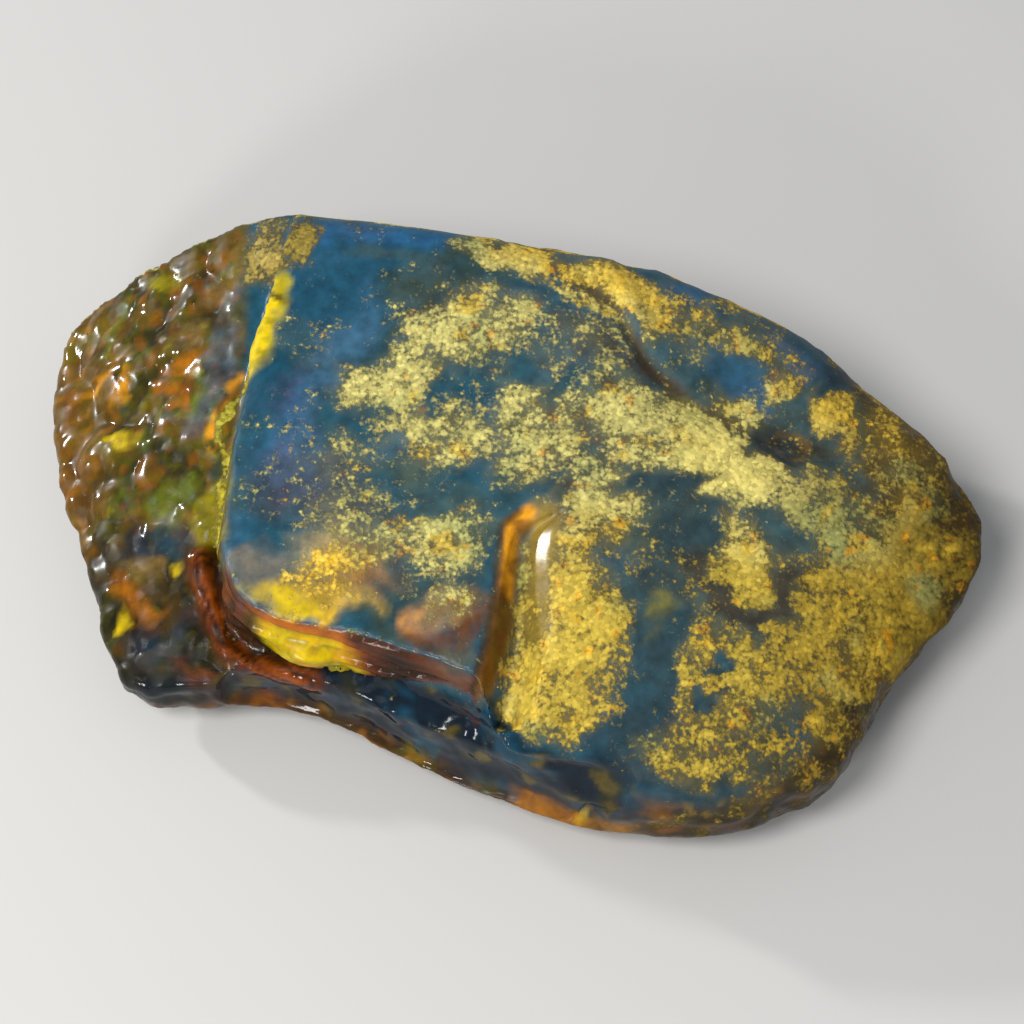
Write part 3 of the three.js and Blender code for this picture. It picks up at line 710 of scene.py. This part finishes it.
def crust_colour(points, ragged):
    """Pale in the middle of the top, golden on the right lobe, browner at the thin end, with painted
    shade low down and at the thin end.
    """
    colours = np.tile(np.array(hex_colour(PALETTE["pale crust"])[:3]), (len(points), 1))
    x = ragged[:, 0]
    y = ragged[:, 1]
    lay(colours, smooth(-y, 1.0, 6.0) * smooth(x, -2.0, 0.5), "crust")
    lay(colours, 0.8 * smooth(x - 0.2 * y, 12.5, 18.0), "ochre crust")
    lay(colours, 0.8 * smooth(x - 0.15 * y, 19.5, 23.5), "brown crust")
    lay(colours, 0.8 * smooth(y + 0.5 * x, 12.0, 14.5) * smooth(x, -4.0, 2.0), "gold crust")
    lay(colours, 0.6 * oval(ragged, 17.5, -1.5, 3.0, 2.5, 0), "green crust")
    lay(colours, 0.5 * smooth(waves(points, 2.4, 51), 0.1, 0.6), "green crust")
    lay(colours, 0.7 * smooth(waves(points, 1.3, 52) + 0.4 * waves(points, 0.5, 53), 0.25, 0.6),
        "gold crust")
    lay(colours, 0.6 * smooth(waves(points, 0.7, 54), 0.42, 0.6), "amber orange")
    lay(colours, 0.8 * oval(ragged, 11.6, 2.0, 3.6, 3.2, 0), "bright crust")
    lay(colours, 0.8 * oval(ragged, -10.0, -5.8, 3.4, 2.2, 0), "gold wash")
    lay(colours, oval(ragged, -12.4, 14.8, 3.6, 3.6, 0), "corner crust")
    lay(colours, 0.8 * near(to_line(points, FOOT_CRUST), 1.2), "leaf yellow")
    lay(colours, 0.7 * (1.0 - smooth(points[:, 2], 3.0, 6.5)), "brown crust")
    # painted shade: the crust is darkened low down near the floor and towards the thin end, which
    # faces away from the light
    painted_shade = np.maximum(0.40 * (1.0 - smooth(points[:, 2], 2.5, 5.5)), 0.22 * smooth(x, 19.0, 23.0))
    return colours * (1.0 - painted_shade)[:, None]


def write_colours(mesh, name, colours):
    layer = mesh.attributes.new(name, "FLOAT_COLOR", "POINT")
    layer.data.foreach_set("color", np.column_stack((colours, np.ones(len(colours)))).ravel())


def write_values(mesh, name, values):
    layer = mesh.attributes.new(name, "FLOAT", "POINT")
    layer.data.foreach_set("value", np.ascontiguousarray(values))


ragged = warped(warped(warped(rest, 3.0, 1.3, 60), 1.1, 0.55, 63), 0.5, 0.25, 66)
cover = crust_cover(rest, zones, ragged)
clear = np.full(len(points), 0.22)
turn_to(clear, zones.lobe, 0.16)
turn_to(clear, zones.front, 0.08)
turn_to(clear, zones.wall, 0.10)
turn_to(clear, zones.lobe * smooth(waves(rest, 1.6, 70), 0.15, 0.45), 0.36)
turn_to(clear, zones.low * (1.0 - zones.lobe), 0.07)
turn_to(clear, near(to_line(rest, GROOVE_WALL), 1.2), 0.05)
turn_to(clear, near(to_line(rest, RIDGE_SEAM), 1.2), 0.10)
gloss = np.full(len(points), 0.24)
turn_to(gloss, np.maximum(zones.shelf, zones.front), 0.12)
turn_to(gloss, zones.lobe, 0.46)
turn_to(gloss, zones.lobe * smooth(waves(rest, 0.85, 71), -0.30, 0.10), 0.12)
turn_to(gloss, near(np.abs(past_edge(rest) - 0.1), 0.8) * smooth(rest[:, 1], -7.0, -3.0), 0.55)
turn_to(gloss, near(zones.back_rim, 1.3), 0.50)
turn_to(gloss, near(from_step(rest), 2.4) * zones.top, 0.50)
turn_to(gloss, near(ring_distance, 2.2) * zones.top, 0.45)
turn_to(gloss, zones.low * (1.0 - zones.shelf), 0.32)
under = paint_under(rest, zones, ragged)
tint = crust_colour(rest, ragged)
dust(under, cover, tint)
write_colours(skin.data, "underlayer", under)
write_colours(skin.data, "crust_tint", tint)
write_values(skin.data, "crust", cover)
write_values(skin.data, "clear", clear)
write_values(skin.data, "rough", gloss)
write_values(skin.data, "wet", near(to_line(rest, GROOVE_LIP), 2.2) * zones.upper)


# ---------- materials ----------

def add(material, kind, settings=None, links=None):
    """Adds one shader node, sets its plain settings and sockets, and links what feeds it."""
    node = material.node_tree.nodes.new(kind)
    for key, value in (settings or {}).items():
        if isinstance(key, int) or key in node.inputs:
            node.inputs[key].default_value = value
        else:
            setattr(node, key, value)
    for key, source in (links or {}).items():
        material.node_tree.links.new(source, node.inputs[key])
    return node


def new_material(name):
    material = bpy.data.materials.new(name)
    material.use_nodes = True
    material.node_tree.nodes.clear()
    return material


def amber_material():
    """Raw blue amber: fossil resin, clear brown inside, blue on its skin, crusted where it lay.

    The broken faces are glassy and let light in; the weathered crust is matt and grainy.
    """
    material = new_material("raw amber with ochre crust")
    place = add(material, "ShaderNodeTexCoord").outputs["Object"]
    read = {name: add(material, "ShaderNodeAttribute", {"attribute_name": name})
            for name in ("underlayer", "crust_tint", "crust", "clear", "rough", "wet")}
    grains = add(material, "ShaderNodeTexNoise", {"Scale": 1 / (0.36 * MM), "Detail": 5.0,
                                                  "Roughness": 0.70}, {"Vector": place})
    clumps = add(material, "ShaderNodeTexNoise", {"Scale": 1 / (1.3 * MM), "Detail": 2.0,
                                                  "Roughness": 0.5}, {"Vector": place})
    seeds = add(material, "ShaderNodeTexVoronoi", {"Scale": 1 / (0.24 * MM)}, {"Vector": place})
    clump_part = add(material, "ShaderNodeMath", {"operation": "MULTIPLY", 1: 0.36},
                     {0: clumps.outputs["Fac"]})
    grain_part = add(material, "ShaderNodeMath", {"operation": "MULTIPLY_ADD", 1: 0.54},
                     {0: grains.outputs["Fac"], 2: clump_part.outputs[0]})
    both = add(material, "ShaderNodeMath", {"operation": "MULTIPLY_ADD", 1: -0.12},
               {0: seeds.outputs["Distance"], 2: grain_part.outputs[0]})
    cover = add(material, "ShaderNodeMath", {"operation": "MULTIPLY_ADD", 1: 0.30},
                {0: read["crust"].outputs["Fac"], 2: both.outputs[0]})
    crust = add(material, "ShaderNodeMapRange", {"interpolation_type": "SMOOTHSTEP", "From Min": 0.505,
                                                 "From Max": 0.620}, {"Value": cover.outputs[0]})
    depth = add(material, "ShaderNodeMapRange", {"From Min": 0.53, "From Max": 0.74, "To Min": 0.50,
                                                 "To Max": 1.12}, {"Value": cover.outputs[0]})
    grain_shade = add(material, "ShaderNodeMapRange", {"To Min": 0.58, "To Max": 1.30},
                      {"Value": seeds.outputs["Color"]})
    crust_shade = add(material, "ShaderNodeMath", {"operation": "MULTIPLY"},
                      {0: grain_shade.outputs["Result"], 1: depth.outputs["Result"]})
    crust_tone = add(material, "ShaderNodeVectorMath", {"operation": "SCALE"},
                     {0: read["crust_tint"].outputs["Color"], "Scale": crust_shade.outputs[0]})
    haze = add(material, "ShaderNodeTexNoise", {"Scale": 1 / (0.9 * MM), "Detail": 5.0,
                                                "Roughness": 0.6}, {"Vector": place})
    haze_shade = add(material, "ShaderNodeMapRange", {"From Min": 0.3, "From Max": 0.7, "To Min": 0.66,
                                                      "To Max": 1.3}, {"Value": haze.outputs["Fac"]})
    under_tone = add(material, "ShaderNodeVectorMath", {"operation": "SCALE"},
                     {0: read["underlayer"].outputs["Color"], "Scale": haze_shade.outputs["Result"]})
    colour = add(material, "ShaderNodeMix", {"data_type": "RGBA"},
                 {"Factor": crust.outputs["Result"], "A": under_tone.outputs[0],
                  "B": crust_tone.outputs[0]})
    bare = add(material, "ShaderNodeMath", {"operation": "SUBTRACT", 0: 1.0},
               {1: crust.outputs["Result"]})
    through = add(material, "ShaderNodeMath", {"operation": "MULTIPLY"},
                  {0: bare.outputs[0], 1: read["clear"].outputs["Fac"]})
    crust_rough = add(material, "ShaderNodeMath", {"operation": "MULTIPLY", 1: 2.7},
                      {0: read["rough"].outputs["Fac"]})
    rough = add(material, "ShaderNodeMix", {"data_type": "FLOAT"},
                {"Factor": crust.outputs["Result"], "A": read["rough"].outputs["Fac"],
                 "B": crust_rough.outputs[0]})
    crust_lift = add(material, "ShaderNodeMath", {"operation": "MULTIPLY"},
                     {0: crust.outputs["Result"], 1: cover.outputs[0]})
    lift = add(material, "ShaderNodeMath", {"operation": "MULTIPLY_ADD", 1: 0.10},
               {0: haze.outputs["Fac"], 2: crust_lift.outputs[0]})
    bump = add(material, "ShaderNodeBump", {"Strength": 0.7, "Distance": 0.12 * MM},
               {"Height": lift.outputs[0]})
    shader = add(material, "ShaderNodeBsdfPrincipled", {"IOR": 1.54, "Specular IOR Level": 0.20,
                                                        "Coat Roughness": 0.24, "Coat IOR": 1.54},
                 {"Base Color": colour.outputs[2], "Roughness": rough.outputs[0],
                  "Transmission Weight": through.outputs[0], "Normal": bump.outputs["Normal"],
                  "Coat Weight": read["wet"].outputs["Fac"]})
    inside = add(material, "ShaderNodeVolumeAbsorption",
                 {"Color": hex_colour("#f2c860"), "Density": 160.0})
    add(material, "ShaderNodeOutputMaterial", None,
        {"Surface": shader.outputs["BSDF"], "Volume": inside.outputs["Volume"]})
    return material


skin.data.materials.append(amber_material())
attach(skin, "root")
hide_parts("raw_amber")


# ---------- what is sealed in the resin ----------

def bubble_material():
    """Air bubbles caught in the resin as it ran: clear, bright-rimmed little balls.

    Their IOR is that of air, seen from inside resin of 1.54.
    """
    material = new_material("air bubbles")
    shader = add(material, "ShaderNodeBsdfPrincipled",
                 {"Base Color": hex_colour("#f6f0dc"), "Roughness": 0.02, "IOR": 0.65,
                  "Transmission Weight": 1.0})
    add(material, "ShaderNodeOutputMaterial", None, {"Surface": shader.outputs["BSDF"]})
    return material


def speck_material():
    """Dark bits of bark and dust stuck in the resin: matt and nearly black."""
    material = new_material("plant specks")
    shader = add(material, "ShaderNodeBsdfPrincipled",
                 {"Base Color": hex_colour("#1c1208"), "Roughness": 0.8})
    add(material, "ShaderNodeOutputMaterial", None, {"Surface": shader.outputs["BSDF"]})
    return material


def sealed_piece(name, shape, material):
    """Makes one object of the parts in a bmesh and lets it ride inside the amber."""
    mesh = bpy.data.meshes.new(name)
    bmesh.ops.recalc_face_normals(shape, faces=shape.faces)
    shape.to_mesh(mesh)
    shape.free()
    mesh.materials.append(material)
    mesh.shade_smooth()
    piece = bpy.data.objects.new(name, mesh)
    bpy.context.scene.collection.objects.link(piece)
    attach(piece, "root")


def under_skin(pick, weight, depth):
    """A place inside the amber, depth mm under a random point of the weighted skin."""
    choice = pick.choice(len(points), p=weight / weight.sum())
    return points[choice] - normals[choice] * depth


def balls(pick, weight, count, radius, depth, uneven):
    """Many small balls under the skin; uneven ones are stretched into bits."""
    shape = bmesh.new()
    for _ in range(count):
        size = pick.uniform(*radius)
        spot = under_skin(pick, weight, pick.uniform(*depth) + size)
        stretch = Vector(pick.uniform(1.0 - uneven, 1.0 + uneven, 3)) * size * MM
        place = Matrix.LocRotScale(Vector(spot) * MM, Euler(pick.uniform(0, 3, 3)), stretch)
        bmesh.ops.create_icosphere(shape, subdivisions=2, radius=1.0, matrix=place)
    return shape


pick = np.random.default_rng(7)
glassy = (zones.front + zones.lobe * zones.upper) * (1.0 - zones.base) * (rest[:, 2] > 2.0) + 1e-9
bubbles = balls(pick, glassy, BUBBLES, radius=(0.06, 0.20), depth=(0.15, 0.9), uneven=0.0)
sealed_piece("air_bubbles", bubbles, bubble_material())
specks = balls(pick, glassy, SPECKS, radius=(0.04, 0.13), depth=(0.12, 0.7), uneven=0.5)
sealed_piece("plant_specks", specks, speck_material())


# ---------- floor, light and camera ----------

def floor_material():
    material = new_material("plain pale paper")
    shader = add(material, "ShaderNodeBsdfPrincipled",
                 {"Base Color": hex_colour("#cac8c4"), "Roughness": 0.8})
    add(material, "ShaderNodeOutputMaterial", None, {"Surface": shader.outputs["BSDF"]})
    return material


def pale_floor():
    flat = bmesh.new()
    bmesh.ops.create_grid(flat, x_segments=1, y_segments=1, size=FLOOR * MM)
    mesh = bpy.data.meshes.new("floor")
    flat.to_mesh(mesh)
    flat.free()
    mesh.materials.append(floor_material())
    floor = bpy.data.objects.new("floor", mesh)
    bpy.context.scene.collection.objects.link(floor)


def area_light(name, place, size, watts, mirrored=True):
    """A round soft light aimed at the middle of the piece; glossy faces may leave it out."""
    data = bpy.data.lights.new(name, "AREA")
    data.shape = "DISK"
    data.size = size * MM
    data.energy = watts
    light = bpy.data.objects.new(name, data)
    light.visible_glossy = mirrored
    light.location = Vector(place) * MM
    light.rotation_euler = Vector(place).to_track_quat("Z", "Y").to_euler()
    bpy.context.scene.collection.objects.link(light)


pale_floor()
area_light("key", (-95, -85, 220), 110, 0.42, mirrored=False)
area_light("low", (-212, 118, 104), 18, 0.30)
area_light("front", (-110, -200, 110), 48, 0.20)
world = bpy.data.worlds.new("studio")
world.use_nodes = True
world.node_tree.nodes["Background"].inputs["Color"].default_value = hex_colour("#c8ccd2")
world.node_tree.nodes["Background"].inputs["Strength"].default_value = 0.60
bpy.context.scene.world = world
bpy.context.scene.view_settings.view_transform = "Standard"

CAMERA_ELEVATION = math.radians(60)
CAMERA_DISTANCE = 185 * MM
low, high = (Vector(corner) for corner in cad_box)
target = (low + high) / 2 + Vector((0, 1.0, -0.8)) * MM
camera = bpy.data.objects.new("camera", bpy.data.cameras.new("camera"))
camera.data.lens = 120
camera.data.sensor_width = 36
camera.data.clip_start = 0.01
ahead = Vector((0, math.cos(CAMERA_ELEVATION), -math.sin(CAMERA_ELEVATION)))
camera.location = target - ahead * CAMERA_DISTANCE
camera.rotation_euler = (math.pi / 2 - CAMERA_ELEVATION, 0, 0)
bpy.context.scene.collection.objects.link(camera)
bpy.context.scene.camera = camera
